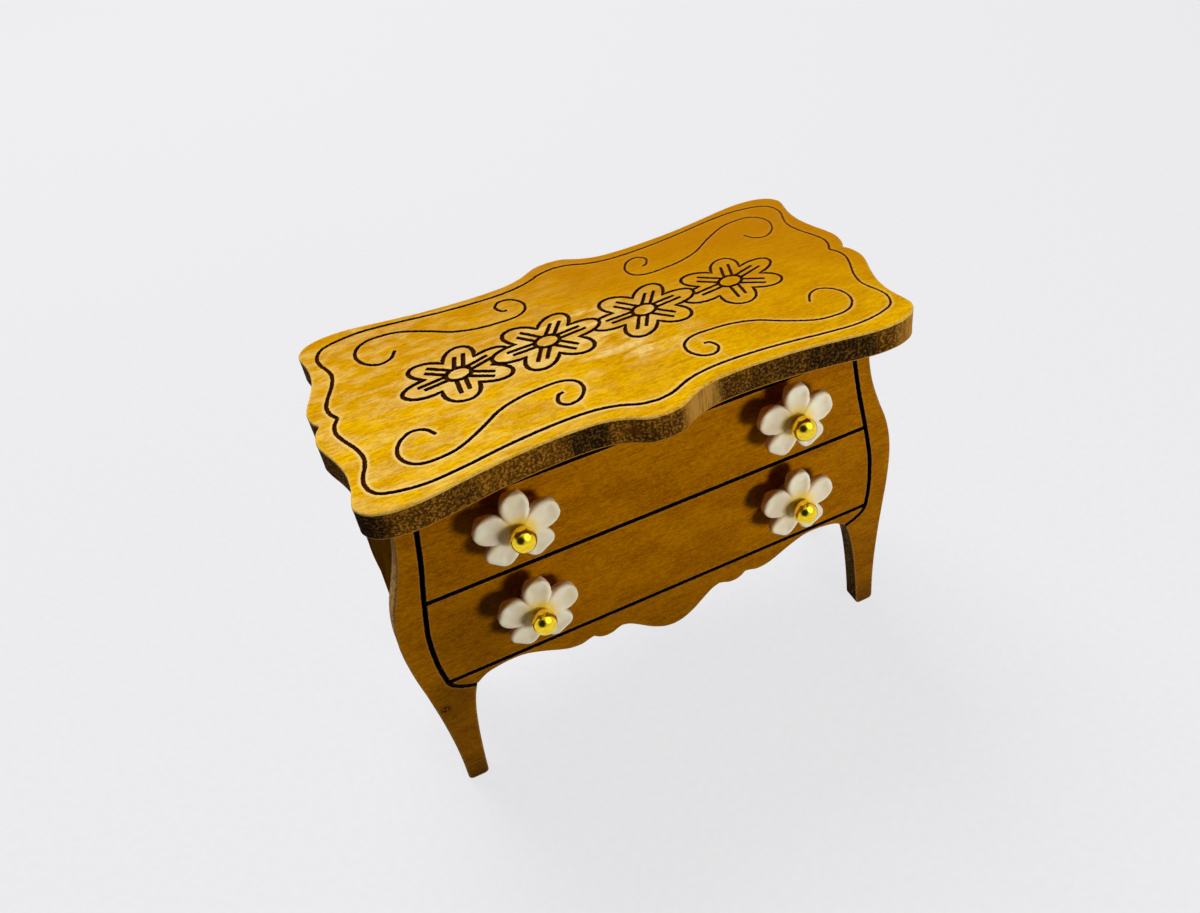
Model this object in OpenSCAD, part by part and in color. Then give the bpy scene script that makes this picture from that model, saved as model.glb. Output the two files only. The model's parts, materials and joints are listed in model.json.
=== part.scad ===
// Miniature bombe chest with two drawers, at one twelfth scale.
// X runs to the right seen from the front, Y to the back, Z up.
// The origin is on the floor, under the middle of the body from side to side
// and under the middle of the top board from front to back.

/* [Overall size] */
// Height from the floor to the top face
total_h = 64.5; // [62:0.5:68]
// Width of the top board across its side lobes
top_w = 79.4; // [78:0.2:84]
// Depth of the top board across its middle bulges
top_d = 42.4; // [40:0.2:46]
// How far the top board sits to the left of the body
top_aside = 0.5; // [0:0.1:0.8]
// Thickness of the top board
top_t = 4.2; // [3.5:0.1:5]
// Depth of the body from front face to back face
body_d = 25; // [24:0.5:28]
// How far the body sits behind the middle of the top board
body_shift = 0.5; // [0:0.1:1]
// Thickness of the front frame, back board and side panels
board_t = 3; // [2.6:0.1:3.4]
// How far the back board sits to the right of the front frame
back_aside = 0.6; // [0:0.1:0.8]
// How much wider the front frame is at its upper left than at its upper right
frame_swell = 0.5; // [0:0.1:0.8]

/* [Drawers] */
// Width of the gap around each drawer front
kerf = 0.5; // [0.3:0.05:0.6]
// Height of the lower edge of the lower drawer
drawers_low_z = 23.5; // [23:0.1:24]
// Height of the line between the two drawers
drawers_mid_z = 40; // [40:0.5:42]
// Height of the upper edge of the upper drawer
drawers_top_z = 54.8; // [53:0.1:56]
// Thickness of the drawer walls
wall_t = 1.5; // [1.2:0.1:1.8]
// Thickness of the thin boards: drawer bottoms, divider and bottom board
thin_t = 1.5; // [1.2:0.1:1.6]
// Sliding clearance around a drawer box
slide_gap = 0.25; // [0.2:0.05:0.3]

/* [Knobs] */
// Distance of a knob from the middle of its drawer
knob_x = 20.7; // [18:0.1:22]
// Height of the upper knobs
upper_knob_z = 50; // [47:0.5:50]
// Height of the lower knobs
lower_knob_z = 33.9; // [31:0.1:33.9]
// Diameter of a flower bead across its petals
bead_d = 12.2; // [11:0.1:12.4]
// Diameter of the ball head of a pin
ball_d = 3.6; // [3:0.1:4]
// Distance of a ball's middle from the drawer face
ball_reach = 5.6; // [5.2:0.1:6]

/* [Engraving] */
// Depth of the engraved lines
engrave_depth = 0.35; // [0.2:0.05:0.6]
// Width of the engraved lines at the front left corner, where they are widest
engrave_w = 0.5; // [0.35:0.05:0.6]
// How far the daisies and scrolls sit behind the middle of the top board
engrave_shift = 0.8; // [0:0.1:1]

/* [Hidden] */
$fn = 64;
cut = 0.1;

golden_oak = [0.80, 0.60, 0.20];
dark_honey = [0.52, 0.32, 0.04];
pale_birch = [0.78, 0.66, 0.47];
ivory = [0.90, 0.87, 0.78];
gold = [0.90, 0.72, 0.15];

front_y = body_shift - body_d / 2;
back_y = front_y + body_d;
body_h = total_h - top_t;

// Inner faces of the side panels, and the space for the drawer boxes between them
panel_x = 31.6;
panel_low_z = 20;
panel_inset = 0.9;
inner_front_y = front_y + board_t;
inner_back_y = back_y - board_t;
front_gap = 0.2;
drawer_front_t = board_t - front_gap;
box_w = 2 * (panel_x - slide_gap);
box_front_y = front_y + drawer_front_t;
box_back_y = inner_back_y - 0.5;
box_len = box_back_y - box_front_y;
upper_box_h = 11;
lower_box_h = 14.3;
upper_box_z = drawers_mid_z + thin_t / 2 + slide_gap;
lower_box_z = drawers_low_z + slide_gap;

// Knob pins
shaft_r = 0.6;
shaft_hole_r = 0.62;

// ---- Curves -------------------------------------------------------------

// Point at t between b and c, on a smooth curve that also heeds a and d
function spline_point(a, b, c, d, t) =
    0.5 * (2 * b + (c - a) * t + (2 * a - 5 * b + 4 * c - d) * t * t
    + (3 * b - 3 * c + d - a) * t * t * t);

// Smooth curve through the points of p, with the given steps between two of them
function smooth(p, steps) = let (last = len(p) - 1) concat(
    [for (i = [0:last - 1], k = [0:steps - 1]) spline_point(
        i == 0 ? 2 * p[0] - p[1] : p[i - 1], p[i], p[i + 1],
        i == last - 1 ? 2 * p[last] - p[last - 1] : p[i + 2], k / steps)],
    [p[last]]);

function reversed(p) = [for (i = [len(p) - 1:-1:0]) p[i]];
function without_last(p) = [for (i = [0:len(p) - 2]) p[i]];
function flipped_x(p) = [for (q = p) [-q.x, q.y]];
function flipped_y(p) = [for (q = p) [q.x, -q.y]];
function scaled(p, sx, sy) = [for (q = p) [q.x * sx, q.y * sy]];

// Quarter circle of radius r about c, from angle a to angle b
function arc(c, r, a, b, steps) =
    [for (k = [0:steps]) c + r * [cos(a + (b - a) * k / steps), sin(a + (b - a) * k / steps)]];

function unit(v) = v / norm(v);
function normal(v) = [-v.y, v.x];

// Normals of an open and of a closed path
function open_normal(p, i) =
    normal(unit(p[min(i + 1, len(p) - 1)] - p[max(i - 1, 0)]));
function closed_normal(p, i) =
    normal(unit(p[(i + 1) % len(p)] - p[(i + len(p) - 1) % len(p)]));

// Half width of a line engraved in the top at point q: thinner to the right and the back
function half_line(q) =
    engrave_w / 2 * (1 - 0.5 * min(1, max(0, (q.x + 0.6 * q.y + 20) / 50)));

// Outline of a line along the open path p, with its half width at each point
function ribbon(p, half) = concat(
    [for (i = [0:len(p) - 1]) p[i] + open_normal(p, i) * half[i]],
    [for (i = [len(p) - 1:-1:0]) p[i] - open_normal(p, i) * half[i]]);

// Outline of a line engraved in the top along the open path p
function top_line(p) = ribbon(p, [for (q = p) half_line(q)]);

// The closed path p moved outwards by the given number of half line widths
function moved_out(p, lines) =
    [for (i = [0:len(p) - 1]) p[i] - closed_normal(p, i) * half_line(p[i]) * lines];

// A line engraved in the top along the closed path p, which runs anticlockwise
module ring(p) {
    difference() {
        polygon(moved_out(p, 1));
        polygon(moved_out(p, -1));
    }
}

// Back half of a line from its first quarter, which runs from the Y axis to the X axis
function back_half(q) = concat(flipped_x(without_last(reversed(q))), q);

// Whole closed line from its first quarter, anticlockwise
function four_quarters(q) = let (half = back_half(q))
    concat(without_last(reversed(half)), without_last(flipped_y(half)));

// ---- Top board ----------------------------------------------------------

// First quarter of the outline, in hundredths of the half width and half depth
top_quarter = [
    [0, 100], [5.8, 98.2], [11.9, 91.6], [18.7, 87.2], [27.8, 85.9], [37.9, 86.3],
    [50.5, 88.2], [63.1, 91.9], [73.2, 95.3], [80.8, 96.7], [87.9, 95.5], [93.4, 91],
    [96.2, 83.4], [96, 75.8], [95, 66.4], [94.7, 56.9], [95.2, 47.4], [96.9, 35.5],
    [98.8, 25.6], [100, 16.1], [99.3, 6.2], [97.5, 0]
];
top_outline = four_quarters(
    scaled(smooth(top_quarter, 4), top_w / 200, top_d / 200));

// First quarter of the border line, in millimetres, and where its middle sits
border_quarter = [
    [0, 18.6], [2.2, 18.2], [4.6, 17.05], [7.2, 16.35], [10.5, 16.1], [15, 16.3],
    [20, 16.9], [25, 17.75], [29.5, 18.2], [33, 17.75], [35.3, 16.8], [36.2, 15],
    [36.1, 13.2], [35.45, 11.3], [35.2, 9.5], [35.7, 7.3], [36.7, 4.9], [37.25, 3],
    [37.1, 1.4], [36.4, 0]
];
border_middle = [-0.3, 0.35];

// Scroll in the back right quarter: a wide loop by the corner, an S stem and a tight curl
scroll_path = [
    [26.5, 10.4], [27.5, 8.8], [29.2, 8.3], [30.9, 9.5], [31.7, 11.6], [31.2, 13.6],
    [29.6, 14.9], [27.2, 15.05], [24.6, 14.45], [21.2, 12.4], [18.3, 10.3], [15.2, 9.15],
    [12, 8.75], [9.4, 8.8], [7.7, 9.8], [7.35, 11.7], [8.5, 13.5], [10.2, 13.9],
    [11.2, 12.8], [10.7, 11.4], [9.9, 11.1]
];

// The four scrolls: mirrored in X and Y by the signs, then moved by the other two values
scroll_places = [[1, 1, 1.3, -0.1], [-1, 1, 0, 0], [1, -1, 0, -0.3], [-1, -1, 0, 0]];

// Row of daisies: middles, angles of the petals and sizes
daisy_middles = [[-20.4, 0.2], [-7.7, 0.7], [6.6, 0.3], [20, 0.1]];
outer_petals = [22, 77, 134, 189, 267, 321];
inner_petals = [7, 62, 123, 182, 247, 305];
daisy_petals = [outer_petals, inner_petals, inner_petals, outer_petals];
daisy_r = 6.2;
daisy_waist_r = 3.5;
daisy_middle_r = 1.35;
daisy_stretch = 1.28;
stroke_end_r = [4.4, 4];
stroke_apart = 0.95;
petal_steps = 12;

function stretched(p, middle) = [for (q = p) middle + [q.x * daisy_stretch, q.y]];

// Outline of a daisy, with a rounded tip on each petal
function daisy_outline(n) = stretched(
    [for (i = [0:5], k = [0:petal_steps - 1]) let (
        from = daisy_petals[n][i],
        to = i == 5 ? daisy_petals[n][0] + 360 : daisy_petals[n][i + 1],
        a = from + (to - from) * k / petal_steps,
        tip = abs(cos(180 * k / petal_steps)))
        (daisy_waist_r + (daisy_r - daisy_waist_r) * tip) * [cos(a), sin(a)]],
    daisy_middles[n]);

// Two short strokes that run from a daisy's middle into the petal at angle a
module petal_strokes(n, a) {
    along = [cos(a), sin(a)];
    for (side = [0, 1]) {
        offset_across = normal(along) * stroke_apart * (side - 0.5);
        stroke = [
            along * daisy_middle_r + offset_across,
            along * stroke_end_r[side] + offset_across
        ];
        polygon(top_line(stretched(stroke, daisy_middles[n])));
    }
}

module daisy(n) {
    ring(daisy_outline(n));
    ring(stretched(arc([0, 0], daisy_middle_r, 0, 350, 35), daisy_middles[n]));
    for (a = daisy_petals[n]) {
        petal_strokes(n, a);
    }
}

// Each daisy but the last is cut off where a neighbour lies over it
module daisies() {
    daisy(1);
    for (pair = [[0, 1], [2, 1], [3, 2]]) {
        difference() {
            daisy(pair[0]);
            polygon(daisy_outline(pair[1]));
        }
    }
}

// The border is two lines that meet in a cusp at each end of the board
module border() {
    half = back_half(smooth(border_quarter, 4));
    for (side = [1, -1]) {
        polygon(top_line([for (q = half) border_middle + [q.x, q.y * side]]));
    }
}

module scrolls() {
    path = smooth(scroll_path, 4);
    for (place = scroll_places) {
        polygon(top_line([for (q = path)
            [q.x * place[0] + place[2], q.y * place[1] + place[3] + engrave_shift]]));
    }
}

module top_board() {
    color(golden_oak)
    difference() {
        translate([-top_aside, 0, body_h])
            linear_extrude(top_t)
                polygon(top_outline);
        for (part = [0:2]) {
            translate([0, 0, total_h - engrave_depth])
                linear_extrude(engrave_depth + cut) {
                    if (part == 0) border();
                    if (part == 1) scrolls();
                    if (part == 2) translate([0, engrave_shift]) daisies();
                }
        }
    }
}

// ---- Front frame and back board -----------------------------------------

foot_r = 0.8;
foot_outer_x = 37.2;
foot_inner_x = 33.95;
leg_corner = [31.45, 20.7];

// Right half of a board, clockwise from the top: swelling side, foot, leg, apron
side_curve = smooth([
    [35.2, body_h], [35, 56], [35.2, 52], [35.9, 48], [37.1, 44], [38.5, 40],
    [39.3, 36], [39.5, 32], [39.2, 27], [38.6, 22], [37.9, 16], [37.4, 10],
    [37.2, 5], [foot_outer_x, foot_r]
], 4);
foot_curve = concat(
    arc([foot_outer_x - foot_r, foot_r], foot_r, 0, -90, 4),
    arc([foot_inner_x + foot_r, foot_r], foot_r, -90, -180, 4));
leg_curve = smooth([
    [foot_inner_x, foot_r], [33.85, 3], [33.65, 6.2], [33.35, 10], [32.95, 13.8],
    [32.55, 16.5], [32.05, 18.8], leg_corner
], 3);
apron_curve = smooth([
    leg_corner, [29.7, 21.95], [27.6, 22.5], [25.5, 22.7], [23.3, 22.45], [20.5, 21.3],
    [18.4, 20.25], [16.8, 19.65], [15.1, 19.5], [13.8, 19.9], [13, 20.1]
], 3);
small_lobe = smooth([
    [13, 20.1], [12.2, 19.45], [11.2, 19.1], [10, 19.2], [9, 19.65], [8.3, 19.85]
], 3);
middle_lobe = smooth([
    [8.3, 19.85], [7.1, 19.4], [5.6, 18.25], [3.6, 16.6], [1.6, 15.5], [0, 15.2]
], 3);
board_half = concat(
    without_last(side_curve), without_last(foot_curve), without_last(leg_curve),
    without_last(apron_curve), without_last(small_lobe), without_last(middle_lobe));
board_outline = concat(board_half, [[0, 15.2]], reversed(flipped_x(board_half)));

// Outline of the front frame, a little wider at the upper left
frame_outline = [for (q = board_outline)
    q.x < -30 ? [q.x - frame_swell * min(1, max(0, (q.y - 22) / 22)), q.y] : q];

// Right edge of the drawers, from the bottom to the top
drawer_edge = smooth([
    [35.25, drawers_low_z], [35.75, 27.5], [35.75, 33], [35.2, 37.3], [34.4, 42],
    [33.4, 47.4], [32.35, drawers_top_z]
], 4);

// Width of the drawers' edge at height z, from the curve's two nearest points
function edge_x(z) = lookup(z, [for (q = drawer_edge) [q.y, q.x]]);

// Drawer front or opening between two heights, widened sideways by side
function front_shape(low_z, high_z, side) = let (
    right = concat(
        [[edge_x(low_z) + side, low_z]],
        [for (q = drawer_edge) if (q.y > low_z + cut && q.y < high_z - cut) [q.x + side, q.y]],
        [[edge_x(high_z) + side, high_z]]))
    concat(right, reversed(flipped_x(right)));

// Curved line from the opening's lower corner to the corner of leg and apron
hook_line = smooth([
    [edge_x(drawers_low_z), drawers_low_z + 0.3], [34.95, 22.75], [34.1, 21.9],
    [32.9, 21.2], [leg_corner.x - 0.4, leg_corner.y - 0.2]
], 4);
hook_outline = ribbon(hook_line, [for (q = hook_line) engrave_w / 2]);

// Stands a drawing made in X and Z upright, with its front at y and thickness t
module upright(y, t) {
    translate([0, y + t, 0])
        rotate([90, 0, 0])
            linear_extrude(t)
                children();
}

module front_frame() {
    color(dark_honey)
    difference() {
        upright(front_y, board_t)
            polygon(frame_outline);
        upright(front_y - cut, board_t + 2 * cut)
            polygon(front_shape(drawers_low_z - kerf / 2, drawers_top_z + kerf / 2, kerf / 2));
        upright(front_y - cut, engrave_depth + cut)
            polygon(hook_outline);
        upright(front_y - cut, engrave_depth + cut)
            polygon(flipped_x(hook_outline));
    }
}

module back_board() {
    color(dark_honey)
    translate([back_aside, 0, 0])
        upright(back_y - board_t, board_t)
            polygon(board_outline);
}

// ---- Side panels and inner boards ---------------------------------------

// Right side: flat towards the drawers, swelling with the boards outside, with a
// shallow arch below
module side_panel() {
    depth = inner_back_y - inner_front_y;
    arch_rise = 1.6;
    arch_half = depth / 2 - 2;
    arch_r = (arch_half * arch_half + arch_rise * arch_rise) / (2 * arch_rise);
    middle_y = (inner_front_y + inner_back_y) / 2;
    outer = [for (q = side_curve) if (q.y > panel_low_z + cut) [q.x - panel_inset, q.y]];
    low_x = outer[len(outer) - 1].x;
    color(dark_honey)
    difference() {
        upright(inner_front_y, depth)
            polygon(concat(outer, [[low_x, panel_low_z], [panel_x, panel_low_z], [panel_x, body_h]]));
        translate([panel_x - cut, middle_y, panel_low_z + arch_rise - arch_r])
            rotate([0, 90, 0])
                cylinder(h = low_x - panel_x + 2 * cut, r = arch_r, $fn = 128);
    }
}

module right_side_panel() side_panel();

module left_side_panel() mirror([1, 0, 0]) side_panel();

// Thin board between the side panels with its top at z
module thin_board(z) {
    color(pale_birch)
    translate([-panel_x, inner_front_y, z - thin_t])
        cube([2 * panel_x, inner_back_y - inner_front_y, thin_t]);
}

module divider_board() thin_board(drawers_mid_z + thin_t / 2);

module bottom_board() thin_board(drawers_low_z);

// ---- Drawers ------------------------------------------------------------

// Drawer front with a drilled hole for each knob pin
module drawer_front(low_z, high_z, knob_z) {
    color(dark_honey)
    difference() {
        upright(front_y, drawer_front_t)
            polygon(front_shape(low_z + kerf / 2, high_z - kerf / 2, -kerf / 2));
        for (side = [-1, 1]) {
            translate([side * knob_x, front_y - cut, knob_z])
                rotate([-90, 0, 0])
                    cylinder(h = board_t + cut, r = shaft_hole_r, $fn = 32);
        }
    }
}

// Right wall of a drawer box
module drawer_side(z, h) {
    color(pale_birch)
    translate([box_w / 2 - wall_t, box_front_y, z])
        cube([wall_t, box_len, h]);
}

module drawer_back(z, h) {
    color(pale_birch)
    translate([-box_w / 2 + wall_t, box_back_y - wall_t, z])
        cube([box_w - 2 * wall_t, wall_t, h]);
}

module drawer_bottom(z) {
    color(pale_birch)
    translate([-box_w / 2 + wall_t, box_front_y, z])
        cube([box_w - 2 * wall_t, box_len - wall_t, thin_t]);
}

module upper_drawer_front() drawer_front(drawers_mid_z, drawers_top_z, upper_knob_z);
module upper_drawer_right_side() drawer_side(upper_box_z, upper_box_h);
module upper_drawer_left_side() mirror([1, 0, 0]) drawer_side(upper_box_z, upper_box_h);
module upper_drawer_back() drawer_back(upper_box_z, upper_box_h);
module upper_drawer_bottom() drawer_bottom(upper_box_z);

module lower_drawer_front() drawer_front(drawers_low_z, drawers_mid_z, lower_knob_z);
module lower_drawer_right_side() drawer_side(lower_box_z, lower_box_h);
module lower_drawer_left_side() mirror([1, 0, 0]) drawer_side(lower_box_z, lower_box_h);
module lower_drawer_back() drawer_back(lower_box_z, lower_box_h);
module lower_drawer_bottom() drawer_bottom(lower_box_z);

// ---- Knobs --------------------------------------------------------------

bead_petals = 5;
bead_turn = 86;
bead_foot_r = 1.9;
bead_neck_r = 3.3;
bead_back_h = 1.8;
bead_rim_h = 4.1;
bead_dish_r = 5;
bead_dish_depth = 0.7;
bead_hub_r = 2.6;

// Flat shape of a bead: round petals about a middle disc
module bead_outline() {
    petal_r = bead_d * 0.19;
    reach = bead_d / 2 - petal_r;
    circle(r = bead_hub_r);
    for (k = [0:bead_petals - 1]) {
        rotate(bead_turn + k * 360 / bead_petals) {
            translate([reach, 0])
                circle(r = petal_r);
            translate([0, -petal_r * 0.7])
                square([reach, petal_r * 1.4]);
        }
    }
}

// Flower bead that opens towards +Z, with its foot at z = 0.
// Thick petals with a dish in each stand on a flared foot, and the ball sits in the middle.
module flower_bead() {
    dish_z = bead_rim_h + bead_dish_r - bead_dish_depth;
    color(ivory)
    difference() {
        union() {
            cylinder(h = bead_back_h, r1 = bead_foot_r, r2 = bead_neck_r);
            translate([0, 0, bead_back_h])
                linear_extrude(bead_rim_h - bead_back_h)
                    bead_outline();
        }
        for (k = [0:bead_petals - 1]) {
            rotate(bead_turn + k * 360 / bead_petals)
                translate([bead_d * 0.33, 0, dish_z])
                    sphere(r = bead_dish_r);
        }
        translate([0, 0, -cut])
            cylinder(h = bead_rim_h + 2 * cut, r = shaft_hole_r, $fn = 32);
        translate([0, 0, ball_reach])
            sphere(r = ball_d / 2 + 0.02);
    }
}

// Pin with a ball head: the shaft ends flush with the back of the drawer front
module ball_pin() {
    color(gold) {
        translate([0, 0, ball_reach])
            sphere(r = ball_d / 2);
        translate([0, 0, -drawer_front_t])
            cylinder(h = drawer_front_t + ball_reach, r = shaft_r, $fn = 32);
    }
}

// Puts a knob part on the drawer face, opening to the front
module on_drawer(side, knob_z) {
    translate([side * knob_x, front_y, knob_z])
        rotate([90, 0, 0])
            children();
}

module upper_left_flower() on_drawer(-1, upper_knob_z) flower_bead();
module upper_right_flower() on_drawer(1, upper_knob_z) flower_bead();
module lower_left_flower() on_drawer(-1, lower_knob_z) flower_bead();
module lower_right_flower() on_drawer(1, lower_knob_z) flower_bead();
module upper_left_pin() on_drawer(-1, upper_knob_z) ball_pin();
module upper_right_pin() on_drawer(1, upper_knob_z) ball_pin();
module lower_left_pin() on_drawer(-1, lower_knob_z) ball_pin();
module lower_right_pin() on_drawer(1, lower_knob_z) ball_pin();

top_board();
front_frame();
back_board();
left_side_panel();
right_side_panel();
divider_board();
bottom_board();
upper_drawer_front();
upper_drawer_left_side();
upper_drawer_right_side();
upper_drawer_back();
upper_drawer_bottom();
lower_drawer_front();
lower_drawer_left_side();
lower_drawer_right_side();
lower_drawer_back();
lower_drawer_bottom();
upper_left_flower();
upper_right_flower();
lower_left_flower();
lower_right_flower();
upper_left_pin();
upper_right_pin();
lower_left_pin();
lower_right_pin();
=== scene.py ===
"""Looks of the miniature bombe chest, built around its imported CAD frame.

The top, the front frame, the back board and the drawer fronts are cut again as fine meshes
from their CAD solids: eased edges, rounded engraved lines and slightly uneven sawn edges.
Beads and pins are modelled here. The other boards keep their CAD meshes, with bevels.
Lengths inside the mesh code are in millimetres, in the frame's own axes.
"""

import json
import math
import random

import bpy
import bmesh
import numpy as np
from mathutils import Matrix, Vector, noise
from mathutils.geometry import delaunay_2d_cdt
from mathutils.kdtree import KDTree


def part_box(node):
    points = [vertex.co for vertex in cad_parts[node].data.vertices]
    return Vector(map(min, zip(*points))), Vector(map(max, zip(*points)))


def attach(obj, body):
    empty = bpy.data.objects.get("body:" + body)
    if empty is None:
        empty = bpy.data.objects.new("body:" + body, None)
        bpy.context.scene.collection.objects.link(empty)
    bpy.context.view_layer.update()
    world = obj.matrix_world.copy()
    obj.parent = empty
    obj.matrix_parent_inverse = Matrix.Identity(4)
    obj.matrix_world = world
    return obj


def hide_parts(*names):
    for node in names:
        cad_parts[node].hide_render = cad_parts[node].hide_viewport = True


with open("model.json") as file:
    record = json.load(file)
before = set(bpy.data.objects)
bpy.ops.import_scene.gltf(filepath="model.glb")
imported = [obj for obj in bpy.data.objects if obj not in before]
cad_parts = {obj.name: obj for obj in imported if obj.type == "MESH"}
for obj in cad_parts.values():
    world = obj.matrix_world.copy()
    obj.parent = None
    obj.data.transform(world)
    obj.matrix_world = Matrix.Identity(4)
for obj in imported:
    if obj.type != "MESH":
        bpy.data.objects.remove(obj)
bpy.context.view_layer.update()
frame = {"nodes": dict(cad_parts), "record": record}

MM = 0.001
NODES = frame["nodes"]
BODY_OF = {
    node: body
    for body, members in frame["record"]["behaviour"]["bodies"].items()
    for node in members
}

# Longest edges of outlines and of engraved lines
OUTLINE_STEP = 0.6
ENGRAVED_STEP = 0.5
# Rings of points on an eased edge, as shares of its width, and one this far behind it
EASE_RINGS = (0.15, 0.5, 1.0)
RING_BEHIND_EASE = 0.25
# Rings of points inside an engraved line, and outside it where negative
GROOVE_RINGS = (0.09, 0.2, -0.05, -0.16, -0.34)
# Random shift of a face's grid, as a share of its step, and its least distance from rings
GRID_JITTER = 0.3
GRID_GAP = 0.1
# Half width over which a groove's floor is rounded, and the drop of its worn shoulder
GROOVE_HALF = 0.25
SHOULDER_WIDTH = 0.09
SHOULDER_DROP = 0.03
# Distance stored where a board has no engraved line or no plain edge
FAR = 5.0
# Segments measured exactly round a point, and points tested at once for lying inside
NEAREST_SEGMENTS = 8
POINTS_AT_ONCE = 500

# How a flat board's drawing plane (u, v) and its outward direction w lie in the frame
FACING_UP = Matrix(((1, 0, 0), (0, 1, 0), (0, 0, 1)))
FACING_FRONT = Matrix(((1, 0, 0), (0, 0, 1), (0, -1, 0)))
FACING_BACK = Matrix(((-1, 0, 0), (0, 0, 1), (0, 1, 0)))


# ---- Reading a board's drawing from its CAD solid ------------------------------------

def welded_triangles(node, facing):
    """A CAD node's vertices as (u, v, w) in millimetres, and its triangles, welded."""
    mesh = NODES[node].data
    mesh.calc_loop_triangles()
    points = {}
    index = []
    for vertex in mesh.vertices:
        key = tuple(round(c / MM, 3) for c in facing @ vertex.co)
        index.append(points.setdefault(key, len(points)))
    triangles = [[index[i] for i in tri.vertices] for tri in mesh.loop_triangles]
    return np.array(list(points)), np.array([t for t in triangles if len(set(t)) == 3])


def border_loops(points, triangles):
    """Closed loops round a set of triangles, with the set on the left of each."""
    edges = {}
    for a, b, c in triangles:
        for edge in ((a, b), (b, c), (c, a)):
            edges[edge] = True
    following = {}
    for a, b in edges:
        if (b, a) not in edges:
            following.setdefault(a, []).append(b)
    loops = []
    while following:
        start = next(iter(following))
        loop = [start]
        here = start
        while True:
            options = following[here]
            there = options.pop()
            if not options:
                del following[here]
            if there == start:
                break
            loop.append(there)
            here = there
        loops.append(points[loop][:, :2])
    return loops


def drawing_of(node, facing):
    """Outline loops, engraved loops, the levels of back and face, and the grooves' depth."""
    points, triangles = welded_triangles(node, facing)
    heights = points[triangles][:, :, 2]
    low, high = points[:, 2].min(), points[:, 2].max()
    flat = np.ptp(heights, axis=1) < 1e-4
    level = heights[:, 0]
    back = triangles[flat & (np.abs(level - low) < 1e-3)][:, ::-1]
    outline = border_loops(points, back)
    floor = triangles[flat & (level > low + 1e-2) & (level < high - 1e-2)]
    engraved = border_loops(points, floor) if len(floor) else []
    depth = high - points[floor[0, 0], 2] if len(floor) else 0.0
    return outline, engraved, low, high, depth


# ---- Plane geometry ------------------------------------------------------------------

def segments_of(loops):
    """Start and end points of all segments of closed loops."""
    starts = np.concatenate(loops)
    ends = np.concatenate([np.roll(loop, -1, axis=0) for loop in loops])
    return starts, ends


def distance_to(points, loops):
    """Shortest distance from each point to the loops, whose segments are short."""
    starts, ends = segments_of(loops)
    tree = KDTree(len(starts))
    for k, (x, y) in enumerate((starts + ends) / 2):
        tree.insert((x, y, 0), k)
    tree.balance()
    count = min(NEAREST_SEGMENTS, len(starts))
    near = np.array([[hit[1] for hit in tree.find_n((x, y, 0), count)] for x, y in points])
    along = ends - starts
    length2 = np.maximum((along ** 2).sum(1), 1e-12)
    gap = points[:, None, :] - starts[near]
    t = np.clip((gap * along[near]).sum(2) / length2[near], 0, 1)
    gap -= t[:, :, None] * along[near]
    return np.sqrt((gap ** 2).sum(2).min(1))


def inside(points, loops):
    """Which points lie inside the loops, by the even-odd rule."""
    starts, ends = segments_of(loops)
    low = np.minimum(starts[:, 1], ends[:, 1])
    high = np.maximum(starts[:, 1], ends[:, 1])
    result = np.zeros(len(points), bool)
    order = np.argsort(points[:, 1])
    for rows in np.array_split(order, 1 + len(points) // POINTS_AT_ONCE):
        x, y = points[rows, 0, None], points[rows, 1, None]
        near = (high >= y.min()) & (low <= y.max())
        a, b = starts[near], ends[near]
        spans = (a[:, 1] > y) != (b[:, 1] > y)
        rise = np.where(b[:, 1] == a[:, 1], 1, b[:, 1] - a[:, 1])
        cross_x = a[:, 0] + (y - a[:, 1]) / rise * (b[:, 0] - a[:, 0])
        result[rows] = (spans & (x < cross_x)).sum(1) % 2 == 1
    return result


def moved_in(loop, by):
    """The loop moved to its left by the given distance."""
    ahead = np.roll(loop, -1, axis=0) - loop
    ahead /= np.maximum(np.linalg.norm(ahead, axis=1, keepdims=True), 1e-9)
    mean = ahead + np.roll(ahead, 1, axis=0)
    mean /= np.maximum(np.linalg.norm(mean, axis=1, keepdims=True), 1e-9)
    return loop + by * np.stack([-mean[:, 1], mean[:, 0]], axis=1)


def refined(loop, longest):
    """The loop with its long edges divided."""
    result = []
    for a, b in zip(loop, np.roll(loop, -1, axis=0)):
        count = max(1, math.ceil(np.linalg.norm(b - a) / longest))
        result += [a + (b - a) * k / count for k in range(count)]
    return np.array(result)


# ---- Cutting a board as a fine mesh --------------------------------------------------

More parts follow.
